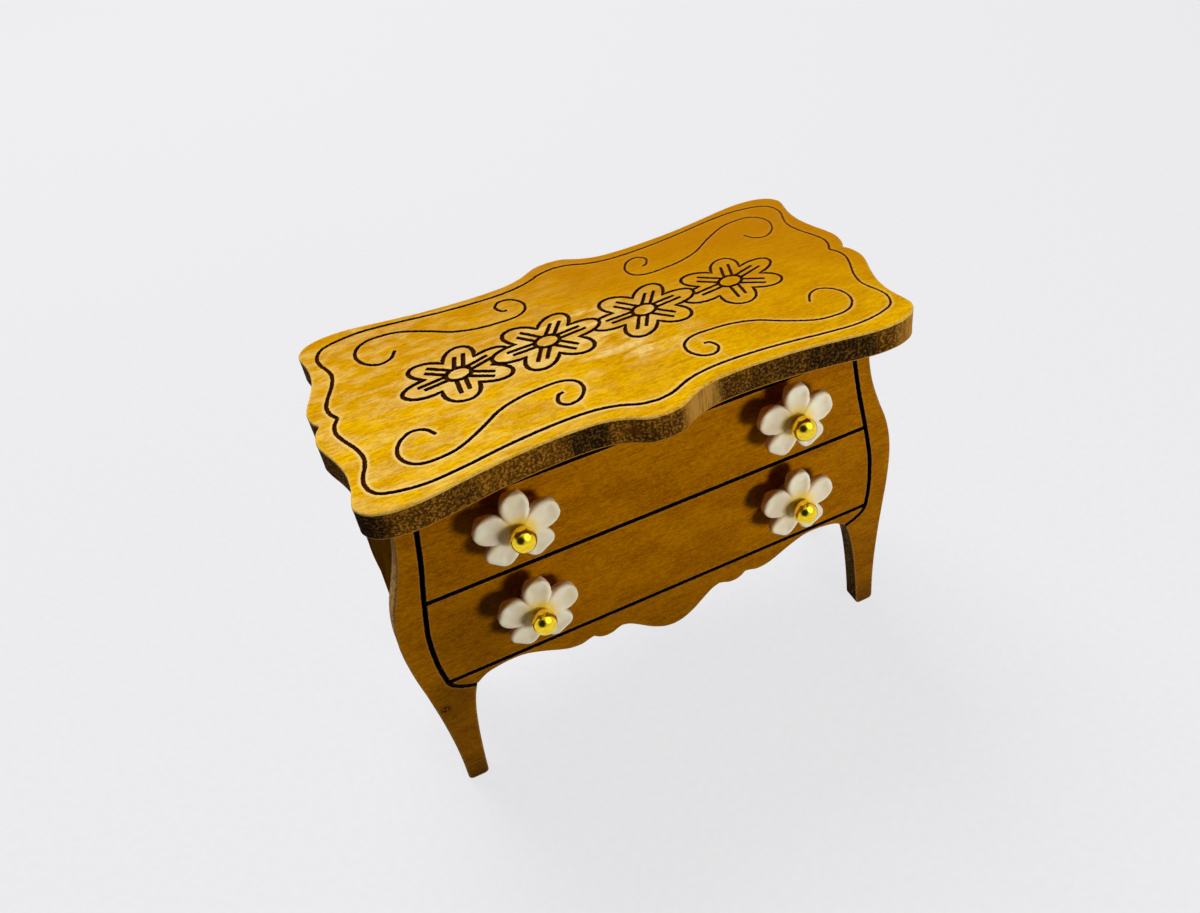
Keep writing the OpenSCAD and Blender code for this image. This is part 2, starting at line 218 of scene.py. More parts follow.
def cut_face(outline, engraved, rim_rings, groove_rings, grid_step, seed):
    """Triangulates a board's face with its rings. Returns points, triangles and the
    place of each outline point among them."""
    loops = list(outline)
    for ring in rim_rings:
        loops += [moved_in(loop, ring) for loop in outline]
    loops += engraved
    for ring in groove_rings:
        loops += [moved_in(loop, ring) for loop in engraved]
    low = np.min([loop.min(0) for loop in outline], axis=0)
    high = np.max([loop.max(0) for loop in outline], axis=0)
    grid = np.stack(np.meshgrid(
        np.arange(low[0], high[0], grid_step),
        np.arange(low[1], high[1], grid_step)), axis=-1).reshape(-1, 2)
    rng = np.random.default_rng(seed)
    grid = grid + rng.uniform(-GRID_JITTER, GRID_JITTER, grid.shape) * grid_step
    keep = inside(grid, outline)
    keep &= distance_to(grid, outline) > max(rim_rings) + GRID_GAP
    if engraved:
        keep &= distance_to(grid, engraved) > GRID_GAP
    grid = grid[keep]

    points, edges = [], []
    for loop in loops:
        first = len(points)
        count = len(loop)
        points += [Vector(p) for p in loop]
        edges += [(first + k, first + (k + 1) % count) for k in range(count)]
    outline_count = sum(len(loop) for loop in outline)
    points += [Vector(p) for p in grid]
    made, _, faces, origins, _, _ = delaunay_2d_cdt(points, edges, [], 0, 1e-4)
    place = {}
    for k, sources in enumerate(origins):
        for source in sources:
            if source < outline_count:
                place[source] = k
    made = np.array([tuple(p) for p in made])
    faces = np.array([face for face in faces if len(face) == 3])
    centres = made[faces].mean(1)
    faces = faces[inside(centres, outline)]
    return made, faces, [place[k] for k in range(outline_count)]


def rounding(distance, radius):
    """How far a rounded edge drops below the face at a distance from the outline."""
    short = np.clip(radius - distance, 0, radius)
    return radius - np.sqrt(np.maximum(radius ** 2 - short ** 2, 0))


def face_relief(points, outline, plain_count, engraved, depth, ease):
    """How far each point of a face sinks at grooves and eased edges, and its distances to
    the nearest engraved or charred line and to the nearest of the first plain loops."""
    rim = distance_to(points, outline)
    sink = rounding(rim, ease)
    line = np.full(len(points), FAR)
    if engraved:
        line = distance_to(points, engraved)
        line[inside(points, engraved)] *= -1
        sink += depth * np.sin(np.clip(-line / GROOVE_HALF, 0, 1) * math.pi / 2) ** 0.8
        sink += SHOULDER_DROP * np.clip(1 - np.abs(line) / SHOULDER_WIDTH, 0, 1)
    if plain_count < len(outline):
        line = np.minimum(line, distance_to(points, outline[plain_count:]))
        rim = (distance_to(points, outline[:plain_count]) if plain_count
               else np.full(len(points), FAR))
    return sink, line, rim


def wall_rings(outline, low, high, ease, steps, wobble, seed):
    """Rings of points down a sawn edge, pressed in a little here and there."""
    base = np.concatenate(outline)
    inwards = np.concatenate([moved_in(loop, 1.0) for loop in outline]) - base
    rings = []
    for step in range(1, steps):
        w = high - ease + (low - high + 2 * ease) * step / steps
        depth_in = wobble * np.array([
            0.5 + 0.5 * noise.noise(Vector((p[0] * 0.9, p[1] * 0.9, w * 0.5 + seed)))
            for p in base])
        rings.append(np.column_stack(
            [base + inwards * depth_in[:, None], np.full(len(base), w)]))
    return rings


def wall_faces(outline, rings):
    """Quads between rings of point numbers, as one list for each loop of the outline."""
    result = []
    first = 0
    for loop in outline:
        count = len(loop)
        quads = []
        for upper, lower in zip(rings, rings[1:]):
            for k in range(count):
                a, b = first + k, first + (k + 1) % count
                quads.append([upper[a], lower[a], lower[b], upper[b]])
        result.append(quads)
        first += count
    return result


def board(node, facing, ease=0.18, wall_steps=5, wobble=0.02, grid_step=1.3, seed=0,
          charred="none", materials=()):
    """A board cut as a fine mesh from a CAD node, with materials for its face, its outer
    edge, its back and its charred edges. Charred edges are those of the holes, or all.
    The attributes line_d and rim_d hold the distance to the nearest engraved line or
    charred edge, and to the nearest plain edge, in millimetres."""
    outline, engraved, low, high, depth = drawing_of(node, facing)
    outline.sort(key=lambda loop: -np.ptp(loop, axis=0).prod())
    outline = [refined(loop, OUTLINE_STEP) for loop in outline]
    engraved = [refined(loop, ENGRAVED_STEP) for loop in engraved]
    plain_count = {"none": len(outline), "holes": 1, "all": 0}[charred]
    ease_rings = [ease * f for f in EASE_RINGS]
    top, top_faces, top_rim = cut_face(
        outline, engraved, ease_rings + [ease + RING_BEHIND_EASE],
        GROOVE_RINGS if engraved else (), grid_step, seed)
    under, under_faces, under_rim = cut_face(
        outline, [], ease_rings, (), 3 * grid_step, seed + 1)

    sink, line, rim = face_relief(top, outline, plain_count, engraved, depth, ease)
    under_rim_d = distance_to(under, outline)
    walls = wall_rings(outline, low, high, ease, wall_steps, wobble, seed)
    wall_count = len(top_rim)
    points = [np.column_stack([top, high - sink]), *walls,
              np.column_stack([under, low + rounding(under_rim_d, ease)])]
    line_d = [line, np.full(wall_count * len(walls) + len(under), FAR)]
    rim_d = [rim, np.zeros(wall_count * len(walls)), under_rim_d]

    under_start = len(top) + wall_count * len(walls)
    numbers = [np.array(top_rim)]
    numbers += [len(top) + k * wall_count + np.arange(wall_count) for k in range(len(walls))]
    numbers.append(np.array(under_rim) + under_start)
    faces = [list(face) for face in top_faces]
    kinds = [0] * len(faces)
    for k, quads in enumerate(wall_faces(outline, numbers)):
        faces += quads
        kinds += [1 if k < plain_count else 3] * len(quads)
    faces += [[under_start + i for i in face[::-1]] for face in under_faces]
    kinds += [2] * len(under_faces)

    back = facing.inverted()
    coords = [back @ Vector(p) * MM for p in np.concatenate(points)]
    mesh = bpy.data.meshes.new(node)
    mesh.from_pydata(coords, [], [[int(i) for i in face] for face in faces])
    for name, values in (("line_d", line_d), ("rim_d", rim_d)):
        layer = mesh.attributes.new(name, "FLOAT", "POINT")
        layer.data.foreach_set("value", np.concatenate(values).astype(np.float32))
    for material in materials:
        mesh.materials.append(material)
    mesh.polygons.foreach_set(
        "material_index", [min(kind, len(materials) - 1) for kind in kinds])
    finish_mesh(mesh)
    piece = bpy.data.objects.new("cut_" + node, mesh)
    bpy.context.scene.collection.objects.link(piece)
    stand_for(piece, node)
    return piece


def finish_mesh(mesh, sharp_angle=40):
    """Drops loose points and collapsed faces, turns faces outwards and shades smooth
    between sharp edges."""
    work = bmesh.new()
    work.from_mesh(mesh)
    bmesh.ops.dissolve_degenerate(work, dist=1e-8, edges=work.edges)
    loose = [v for v in work.verts if not v.link_faces]
    bmesh.ops.delete(work, geom=loose, context="VERTS")
    bmesh.ops.recalc_face_normals(work, faces=work.faces)
    work.to_mesh(mesh)
    work.free()
    mesh.polygons.foreach_set("use_smooth", [True] * len(mesh.polygons))
    mesh.set_sharp_from_angle(angle=math.radians(sharp_angle))
    mesh.update()


def stand_for(piece, node):
    """The piece takes the place of a CAD node, on its body."""
    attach(piece, BODY_OF[node])
    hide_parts(node)


# ---- Materials -----------------------------------------------------------------------

class Shader:
    """Builds a node material with short calls. Each call returns an output socket."""

    def __init__(self, name):
        self.material = bpy.data.materials.new(name)
        self.material.use_nodes = True
        self.tree = self.material.node_tree
        self.tree.nodes.clear()
        self.output = self.tree.nodes.new("ShaderNodeOutputMaterial")
        coords = self.tree.nodes.new("ShaderNodeTexCoord")
        self.place = self.vector("MULTIPLY", coords.outputs["Object"], (1 / MM, 1 / MM, 1 / MM))

    def link(self, value, socket):
        """Sets a socket from another socket, a number or a colour of 0 to 255 numbers."""
        if isinstance(value, bpy.types.NodeSocket):
            self.tree.links.new(value, socket)
        elif socket.type == "RGBA":
            socket.default_value = linear_colour(value)
        elif value is not None:
            socket.default_value = value

    def vector(self, operation, a, b):
        node = self.tree.nodes.new("ShaderNodeVectorMath")
        node.operation = operation
        self.link(a, node.inputs[0])
        self.link(b, node.inputs[1])
        return node.outputs[0]

    def stretch(self, scale, offset=(0, 0, 0)):
        """The place in millimetres, stretched and moved for one texture."""
        return self.vector("ADD", self.vector("MULTIPLY", self.place, scale), offset)

    def noise(self, where, scale=1.0, detail=3.0, roughness=0.5, distortion=0.0):
        node = self.tree.nodes.new("ShaderNodeTexNoise")
        self.link(where, node.inputs["Vector"])
        node.inputs["Scale"].default_value = scale
        node.inputs["Detail"].default_value = detail
        node.inputs["Roughness"].default_value = roughness
        node.inputs["Distortion"].default_value = distortion
        return node.outputs["Fac"]

    def math(self, operation, a, b=None, c=None, clamp=False):
        node = self.tree.nodes.new("ShaderNodeMath")
        node.operation = operation
        node.use_clamp = clamp
        for value, socket in zip((a, b, c), node.inputs):
            self.link(value, socket)
        return node.outputs[0]

    def times(self, a, b):
        return self.math("MULTIPLY", a, b)

    def band(self, value, low, high, to_low=0.0, to_high=1.0):
        """Value moved smoothly from one range to another."""
        node = self.tree.nodes.new("ShaderNodeMapRange")
        node.interpolation_type = "SMOOTHSTEP"
        for socket, number in zip(node.inputs, (value, low, high, to_low, to_high)):
            self.link(number, socket)
        return node.outputs[0]

    def mix(self, factor, a, b, blend="MIX"):
        node = self.tree.nodes.new("ShaderNodeMix")
        node.data_type = "RGBA"
        node.blend_type = blend
        self.link(factor, node.inputs[0])
        self.link(a, node.inputs[6])
        self.link(b, node.inputs[7])
        return node.outputs[2]

    def attribute(self, name):
        node = self.tree.nodes.new("ShaderNodeAttribute")
        node.attribute_name = name
        return node.outputs["Fac"]

    def part(self, axis):
        """One coordinate of the place, in millimetres."""
        node = self.tree.nodes.new("ShaderNodeSeparateXYZ")
        self.link(self.place, node.inputs[0])
        return node.outputs[axis]

    def bump(self, height, millimetres, strength=1.0, normal=None):
        node = self.tree.nodes.new("ShaderNodeBump")
        node.inputs["Distance"].default_value = millimetres * MM
        node.inputs["Strength"].default_value = strength
        self.link(height, node.inputs["Height"])
        if normal is not None:
            self.link(normal, node.inputs["Normal"])
        return node.outputs[0]

    def surface(self, **inputs):
        node = self.tree.nodes.new("ShaderNodeBsdfPrincipled")
        for name, value in inputs.items():
            self.link(value, node.inputs[name.replace("_", " ")])
        self.link(node.outputs[0], self.output.inputs["Surface"])
        return self.material


def linear_colour(screen):
    """A linear colour from screen numbers between 0 and 255."""
    parts = [c / 255 for c in screen]
    parts = [c / 12.92 if c <= 0.04045 else ((c + 0.055) / 1.055) ** 2.4 for c in parts]
    return (*parts, 1.0)


# The stain tints what little the wood reflects, and thins to this where an edge is bare
SHEEN = (255, 186, 36)
BARE_EDGE = (236, 178, 84)


def wood_grain(s, seed):
    """Grain of stained and bare wood: streaks, short ray flecks, clouds and pores."""
    offset = (seed * 13.7, seed * 7.3, seed * 5.1)
    streaks = s.noise(s.stretch((0.16, 2.2, 2.2), offset), 1.0, 7.0, 0.66, 0.5)
    flecks = s.noise(s.stretch((1.0, 3.2, 3.2), offset), 1.0, 3.0, 0.6, 0.3)
    clouds = s.noise(s.stretch((0.10, 0.16, 0.16), offset), 1.0, 4.0, 0.55, 0.8)
    pores = s.noise(s.stretch((2.4, 5.0, 5.0), offset), 1.0, 3.0, 0.65)
    return streaks, flecks, clouds, pores


def patch(s, middle, reach):
    """1 near a middle, fading to 0 at the given reach along each axis, in millimetres."""
    away = s.vector("DIVIDE", s.vector("SUBTRACT", s.place, middle), reach)
    length = s.tree.nodes.new("ShaderNodeVectorMath")
    length.operation = "LENGTH"
    s.link(away, length.inputs[0])
    return s.band(length.outputs["Value"], 1.0, 0.3)


def burnt_lines(s, base, seed, pale, dark, char, reach, wiped):
    """Engraved lines on a base colour: dark as far as char from the line's edge, then a
    pale margin as far as reach, wiped in by the given share. Also gives the distance."""
    line = s.attribute("line_d")
    wander = s.noise(s.stretch((2.0, 2.0, 2.0), (seed, seed, seed)), 1.0, 3.0)
    line = s.math("ADD", line, s.times(s.math("SUBTRACT", wander, 0.5), 0.22))
    margin = s.times(s.band(line, 0.02, 0.12), s.band(line, reach, 0.12))
    base = s.mix(s.times(margin, wiped), base, pale)
    return s.mix(s.band(line, char, s.math("SUBTRACT", char, 0.07)), base, dark), line


def painted_feet_shade(s, tone, dark):
    """Painted shade: darker towards the feet, to the left, at the left hip and at the lower
    left corner of the drawers. A dark knot at the left hip is the wood's own."""
    # Painted shade: darker towards the feet and the left, and at the left hip and the lower left
    # corner.
    low = s.band(s.part(2), 32.0, 10.0)
    painted_shade_aside = s.band(s.times(s.part(0), -1.0), 10.0, 38.0)
    shade = s.math("ADD", s.times(low, 0.25), s.times(painted_shade_aside, 0.12))
    feet = s.band(s.part(2), 7.0, 0.5)
    shade = s.math("MULTIPLY_ADD", feet, 0.34, shade)
    hip = patch(s, (-35.5, -12, 19.5), (4.5, 8, 7))
    corner = patch(s, (-29, -12, 31), (12, 8, 9))
    for spot in (hip, corner):
        shade = s.math("MULTIPLY_ADD", spot, 0.22, shade)
    tone = s.mix(shade, tone, dark)
    ragged = s.band(s.noise(s.stretch((2.6, 2.6, 2.6)), 1.0, 3.0), 0.42, 0.50)
    knot = s.times(patch(s, (-36.9, -12, 18.2), (1.1, 3, 1.0)), ragged)
    return s.mix(knot, tone, dark)


def top_stain_and_painted_light(s, tone, flecks, deep, pale, dark):
    """Stain of the top with painted light: painted shade deepens it to the back and right, and
    a painted sheen makes it paler at the left front. Paler wiped patches of its own lie at the
    middle front and along the row of daisies. Also gives the look of its engraved lines, which
    are wider along the daisies and browner at the back right."""
    slope = s.math("ADD", s.part(1), s.times(s.part(0), 0.35))
    # Painted shade: the top darkens to the back and right.
    back = s.band(slope, -22.0, 26.0)
    tone = s.mix(s.times(back, 0.85), tone, deep)
    blotch = s.noise(s.stretch((0.22, 0.50, 0.45), (5, 2, 9)), 1.0, 3.0, 0.5, 0.3)
    # Painted sheen: paler towards the left front. The middle front and the daisies get paler
    # patches of the wood's own.
    left = s.band(s.part(0), 12.0, -34.0, 0.0, 0.42)
    centre = patch(s, (1, -6.5, 64.5), (13, 5, 9))
    daisies = patch(s, (-10, 1.2, 64.5), (30, 8, 9))
    where = s.math("MAXIMUM", s.math("MAXIMUM", left, centre), daisies)
    pale_patches_and_sheen = s.times(s.band(blotch, 0.42, 0.62), where)
    pale_patches_and_sheen = s.times(pale_patches_and_sheen, s.band(flecks, 0.40, 0.60, 0.9, 0.5))
    tone = s.mix(pale_patches_and_sheen, tone, pale)
    daisy_row = patch(s, (0, 1.2, 64.5), (44, 9, 9))
    return tone, {
        "dark": s.mix(s.band(slope, 8.0, 26.0), dark, (112, 66, 8)),
        "char": s.band(daisy_row, 0.0, 0.5, 0.06, 0.13),
        "reach": s.band(daisies, 0.0, 0.6, 0.55, 0.85),
        "wiped": s.band(slope, 10.0, -24.0, 0.05, 0.85),
    }


def stained_wood(name, seed, light, mid, deep, speck, pale, dark, with_painted_feet_shade=False,
                 top_with_painted_light=False, drawn=True, shine=0.02):
    """Face of a stained board, with the specular level shine. It can carry painted shade
    towards the feet and the left, or, on the top, painted shade to the back and right and a
    painted sheen at the left front. A drawn board has engraved lines and worn rims."""
    s = Shader(name)
    streaks, flecks, clouds, pores = wood_grain(s, seed)
    tone = s.mix(s.band(clouds, 0.38, 0.62), mid, light)
    tone = s.mix(s.times(s.band(streaks, 0.46, 0.66), 0.45), tone, deep)
    tone = s.mix(s.times(s.band(flecks, 0.47, 0.58), 0.42), tone, deep)
    tone = s.mix(s.times(s.band(pores, 0.50, 0.62), 0.40), tone, speck)
    lines = {"dark": dark, "char": 0.17, "reach": 0.42, "wiped": 0.35}
    if with_painted_feet_shade:
        tone = painted_feet_shade(s, tone, dark)
    if top_with_painted_light:
        tone, lines = top_stain_and_painted_light(s, tone, flecks, deep, pale, dark)
    rough = s.band(streaks, 0.3, 0.8, 0.36, 0.50)
    if drawn:
        rim = s.attribute("rim_d")
        chips = s.noise(s.stretch((2.2, 2.2, 2.2), (seed * 3.1, 4, 9)), 1.0, 3.0, 0.6)
        worn = s.times(s.band(rim, 0.42, 0.05), s.band(chips, 0.35, 0.6))
        tone = s.mix(s.times(worn, 0.6), tone, pale)
        tone, line = burnt_lines(s, tone, seed, pale, **lines)
        rough = s.math("MAXIMUM", rough, s.band(line, 0.05, 0.0, 0.0, 0.85))
    height = s.math("ADD", s.times(streaks, 0.6), s.times(flecks, 0.5))
    return s.surface(
        Base_Color=tone, Roughness=rough, Specular_IOR_Level=shine, Specular_Tint=SHEEN,
        Normal=s.bump(height, 0.03, 0.55))


def burnt_edge(name, seed, dark, brown, gold, amount, bright=(), burnt=(), face_y=None):
    """Sawn edge, scorched by the cutting beam, with the gold stain showing in specks.
    It is paler around some places and charred around others. An upright board is pale
    near its face at face_y and high up, and burnt behind that."""
    s = Shader(name)
    specks = s.noise(s.stretch((2.8, 2.8, 2.8), (seed * 5.3, 2, 8)), 1.0, 3.0, 0.65)
    ridges = s.noise(s.stretch((2.4, 2.4, 0.25), (seed, 1, 3)), 1.0, 3.0, 0.6)
    patches = s.noise(s.stretch((0.12, 0.12, 0.12), (seed * 2.2, 6, 1)), 1.0, 2.0)
    wear = s.band(patches, 0.35, 0.65, 0.2, 0.8)
    bare = 0.0
    for middle, reach in bright:
        spot = patch(s, middle, reach)
        wear = s.math("ADD", wear, spot, clamp=True)
        bare = s.math("MAXIMUM", bare, spot)
    for middle, reach in burnt:
        wear = s.math("SUBTRACT", wear, patch(s, middle, reach), clamp=True)
    if face_y is not None:
        depth = s.math("ABSOLUTE", s.math("SUBTRACT", s.part(1), face_y))
        high = s.band(s.part(2), 26.0, 50.0, 0.25, 1.0)
        fresh = s.times(s.band(depth, 3.4, 2.4), high)
        dashes = s.noise(s.stretch((1.0, 1.0, 2.6), (seed, 7, 2)), 1.0, 2.0)
        scorch = s.times(s.band(depth, 0.9, 0.5), s.band(dashes, 0.44, 0.52))
        fresh = s.times(fresh, s.math("SUBTRACT", 1.0, scorch))
        wear = s.math("MAXIMUM", s.times(wear, 0.3), fresh)
    char = s.mix(wear, dark, brown)
    lit = s.times(s.band(specks, 0.49, 0.58), s.math("ADD", wear, 0.35, clamp=True))
    tone = s.mix(s.times(bare, 0.45), char, BARE_EDGE)
    tone = s.mix(s.times(lit, amount), tone, gold)
    tone = s.mix(s.times(s.band(ridges, 0.48, 0.62), 0.4), tone, dark)
    height = s.math("ADD", s.times(specks, 0.7), ridges)
    return s.surface(
        Base_Color=tone, Roughness=s.band(specks, 0.4, 0.7, 0.85, 0.6),
        Specular_IOR_Level=0.02, Specular_Tint=SHEEN, Normal=s.bump(height, 0.10, 0.7))


def raw_wood(name, seed):
    """Unstained thin board, as used inside."""
    s = Shader(name)
    streaks, flecks, clouds, pores = wood_grain(s, seed)
    tone = s.mix(s.band(clouds, 0.35, 0.65), (196, 160, 112), (214, 182, 136))
    tone = s.mix(s.times(s.band(streaks, 0.45, 0.75), 0.6), tone, (160, 118, 74))
    tone = s.mix(s.times(s.band(flecks, 0.6, 0.75), 0.4), tone, (146, 104, 62))
    return s.surface(
        Base_Color=tone, Roughness=s.band(pores, 0.3, 0.7, 0.6, 0.8),
        Specular_IOR_Level=0.25, Normal=s.bump(streaks, 0.04, 0.6))


def ivory_bead(name):
    """Moulded ivory resin: milky, a little see-through at thin edges, with faint specks,
    painted warm shade on faces turned up and to the left, and a painted yellow reflection of
    the gold ball beside it."""
    s = Shader(name)
    milk = s.noise(s.stretch((0.25, 0.25, 0.25)), 1.0, 3.0, 0.5, 0.8)
    specks = s.noise(s.stretch((2.4, 2.4, 2.4), (3, 5, 7)), 1.0, 2.0)
    tone = s.mix(s.band(milk, 0.35, 0.65), (238, 226, 192), (248, 240, 214))
    tone = s.mix(s.times(s.band(specks, 0.72, 0.78), 0.5), tone, (150, 128, 98))
    # Painted warm shade on faces turned up and to the left.
    geometry = s.tree.nodes.new("ShaderNodeNewGeometry")
    facing = s.tree.nodes.new("ShaderNodeSeparateXYZ")
    s.link(geometry.outputs["Normal"], facing.inputs[0])
    painted_shade_aside = s.math("SUBTRACT", s.times(facing.outputs[2], 0.5), facing.outputs[0])
    tone = s.mix(s.band(painted_shade_aside, -0.2, 0.6, 0.0, 0.65), tone, (200, 152, 90))
    # Painted reflection of the gold ball: yellow on the ivory near it.
    painted_ball_reflection = s.band(s.attribute("ball_d"), 2.0, 0.2)
    tone = s.mix(s.times(painted_ball_reflection, 0.9), tone, (240, 204, 28))
    return s.surface(
        Base_Color=tone, Roughness=s.band(milk, 0.3, 0.7, 0.34, 0.46),
        Subsurface_Weight=0.55, Subsurface_Radius=(1.0, 0.7, 0.4), Subsurface_Scale=1.2 * MM,
        Specular_IOR_Level=0.4, Coat_Weight=0.25, Coat_Roughness=0.3,
        Normal=s.bump(milk, 0.08, 0.4))


def gold_plate(name):
    """Bright gold plating with fine tumbling marks."""
    s = Shader(name)
    marks = s.noise(s.stretch((1.2, 1.2, 6.0)), 1.0, 4.0, 0.6)
    tone = s.mix(s.band(marks, 0.35, 0.7), (255, 224, 56), (244, 196, 24))
    return s.surface(
        Base_Color=tone, Metallic=1.0, Roughness=s.band(marks, 0.3, 0.75, 0.10, 0.22),
        Normal=s.bump(marks, 0.01, 0.3))


# ---- Beads and pins ------------------------------------------------------------------

# Half width and bluntness of each petal, from the top one on, anticlockwise
PETALS = ((2.1, 2.2), (2.45, 2.2), (2.25, 4.5), (2.25, 4.5), (2.45, 2.2))
PETAL_TURN = math.radians(86)
BEAD_RADIUS = 6.1
# Shares of a petal's length before its round tip and in it
TIP_START = 0.58
TIP_LENGTH = 0.42
# Least height of a petal's middle above the drawer, and half its thickness
PETAL_HEIGHT = 2.55
PETAL_HALF_THICK = 0.95
# Outline of the hub under the petals, as (radius, height)
HUB = ((0, 0.03), (1.7, 0.03), (1.9, 0.5), (2.2, 1.2), (2.4, 1.9), (2.2, 2.6),
       (1.8, 3.4), (1.4, 4.2), (0, 4.3))
# Gap between a ball and the seat pressed for it in the bead
SEAT_GAP = 0.03


def petal_shell(work, angle, broad, blunt, rng):
    """One thick petal with a dish along it, as a closed shell, opening towards +Z."""
    along_steps, across_steps = 28, 18
    length = BEAD_RADIUS * (1 - rng.uniform(0.0, 0.03))
    half_width = broad * (1 + rng.uniform(-0.04, 0.03))
    lift = rng.uniform(-0.12, 0.12)
    turn = Matrix.Rotation(angle + rng.uniform(-0.03, 0.03), 4, "Z")
    sheets = []
    for side in (1, -1):
        rows = []
        for i in range(along_steps + 1):
            u = i / along_steps
            tip = max(0.0, (u - TIP_START) / TIP_LENGTH)
            grow = math.sin(min(u / 0.66, 1.0) * math.pi / 2) ** 1.1
            width = half_width * (0.16 + 0.84 * grow) * max(0.0, 1 - tip ** blunt) ** 0.5
            row = []
            for j in range(across_steps + 1):
                v = math.sin((j / across_steps - 0.5) * math.pi)
                edge = max(abs(v), tip)
                middle = (PETAL_HEIGHT + lift * u + 0.9 * (1 - u) ** 1.5
                          + 0.7 * edge ** 2.4 * (0.35 + 0.65 * u))
                half_thick = PETAL_HALF_THICK * math.sqrt(max(0.0, 1 - edge ** 5))
                row.append(work.verts.new(
                    turn @ Vector((length * u, width * v, middle + side * half_thick))))
            rows.append(row)
        sheets.append(rows)
    for rows, flip in zip(sheets, (False, True)):
        for a, b in zip(rows, rows[1:]):
            for k in range(across_steps):
                quad = [a[k], b[k], b[k + 1], a[k + 1]]
                work.faces.new(quad[::-1] if flip else quad)
    upper, lower = sheets
    rims = [
        [r[0] for r in sheet] + sheet[-1][1:] + [r[-1] for r in sheet[-2::-1]]
        + sheet[0][-2:0:-1]
        for sheet in (upper, lower)]
    count = len(rims[0])
    for k in range(count):
        n = (k + 1) % count
        work.faces.new([rims[0][k], rims[1][k], rims[1][n], rims[0][n]])


def lathe(work, profile, steps=48):
    """A closed solid turned about Z from (radius, height) points, ends on the axis."""
    rings = []
    for radius, height in profile:
        if radius < 1e-6:
            rings.append([work.verts.new((0, 0, height))])
        else:
            rings.append([
                work.verts.new((radius * math.cos(a), radius * math.sin(a), height))
                for a in (2 * math.pi * k / steps for k in range(steps))])
    for a, b in zip(rings, rings[1:]):
        for k in range(steps):
            n = (k + 1) % steps
            quad = [a[k % len(a)], a[n % len(a)], b[n % len(b)], b[k % len(b)]]
            unique = list(dict.fromkeys(quad))
            if len(unique) >= 3:
                work.faces.new(unique)


def drawer_face_y(node):
    """Where the face of a knob part's drawer lies along Y, in metres."""
    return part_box(node.split("_")[0] + "_drawer_front")[0].y


def knob_place(node):
    """Moves a knob part from its own frame, opening to +Z, onto its drawer face."""
    low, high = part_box(node.replace("_flower", "_pin"))
    centre = (low + high) / 2
    return (Matrix.Translation((centre.x, drawer_face_y(node), centre.z))
            @ Matrix.Rotation(math.pi / 2, 4, "X") @ Matrix.Scale(MM, 4))


def ball_size(node):
    """Radius of a pin's ball and the distance of its middle from the drawer face."""
    low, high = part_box(node)
    radius = (high.x - low.x) / 2 / MM
    return radius, (drawer_face_y(node) - low.y) / MM - radius


def seat_ball(mesh, node):
    """Presses a round seat for the ball into the middle of a bead. The attribute ball_d
    holds the distance to the ball, in millimetres."""
    radius, height = ball_size(node.replace("_flower", "_pin"))
    middle = Vector((0, 0, height))
    distance = mesh.attributes.new("ball_d", "FLOAT", "POINT")
    for vertex, near in zip(mesh.vertices, distance.data):
        away = vertex.co - middle
        if away.length < radius + SEAT_GAP:
            vertex.co = middle + away.normalized() * (radius + SEAT_GAP)
        near.value = max(away.length - radius, 0.0)


def flower_bead(node, material, seed):
    """Petals and hub fused by a fine voxel remesh, then smoothed."""
    rng = random.Random(seed)
    work = bmesh.new()
    for k, (broad, blunt) in enumerate(PETALS):
        petal_shell(work, PETAL_TURN + k * 2 * math.pi / len(PETALS), broad, blunt, rng)
    lathe(work, HUB)
    mesh = bpy.data.meshes.new(node)
    work.to_mesh(mesh)
    work.free()
    piece = bpy.data.objects.new("moulded_" + node, mesh)
    bpy.context.scene.collection.objects.link(piece)
    remesh = piece.modifiers.new("fuse", "REMESH")
    remesh.mode = "VOXEL"
    remesh.voxel_size = 0.12
    smooth = piece.modifiers.new("soften", "SMOOTH")
    smooth.factor = 0.5
    smooth.iterations = 5
    graph = bpy.context.evaluated_depsgraph_get()
    fused = bpy.data.meshes.new_from_object(piece.evaluated_get(graph))
    piece.modifiers.clear()
    piece.data = fused
    seat_ball(fused, node)
    fused.transform(knob_place(node))
    fused.materials.clear()
    fused.materials.append(material)
    fused.polygons.foreach_set("use_smooth", [True] * len(fused.polygons))
    stand_for(piece, node)
    return piece


def ball_pin(node, material):
    """Ball-headed pin with a small collar where the ball meets the shaft."""
    ball_r, centre = ball_size(node)
    foot = (drawer_face_y(node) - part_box(node)[1].y) / MM
    tip = centre + ball_r
    shaft_r, collar_r = 0.6, 0.95
    start = math.asin(collar_r / ball_r)
    profile = [(0, foot), (shaft_r * 0.8, foot), (shaft_r, foot + 0.15),
               (shaft_r, centre - ball_r - 0.1), (collar_r, centre - ball_r + 0.02)]
    arc_steps = 40
    for k in range(arc_steps + 1):
        a = start + (math.pi - start) * k / arc_steps
        profile.append((ball_r * math.sin(a), centre - ball_r * math.cos(a)))
    profile[-1] = (0, tip)
    work = bmesh.new()
    lathe(work, profile, 72)
    work.transform(knob_place(node))
    mesh = bpy.data.meshes.new(node)
    work.to_mesh(mesh)
    work.free()
    mesh.materials.append(material)
    finish_mesh(mesh, 50)
    piece = bpy.data.objects.new("turned_" + node, mesh)
    bpy.context.scene.collection.objects.link(piece)
    stand_for(piece, node)
    return piece


# ---- The chest -----------------------------------------------------------------------

top_face = stained_wood(
    "golden_top", 1.0, light=(238, 184, 0), mid=(218, 160, 0), deep=(172, 106, 0),
    speck=(246, 196, 4), pale=(238, 204, 122), dark=(62, 30, 6), top_with_painted_light=True)
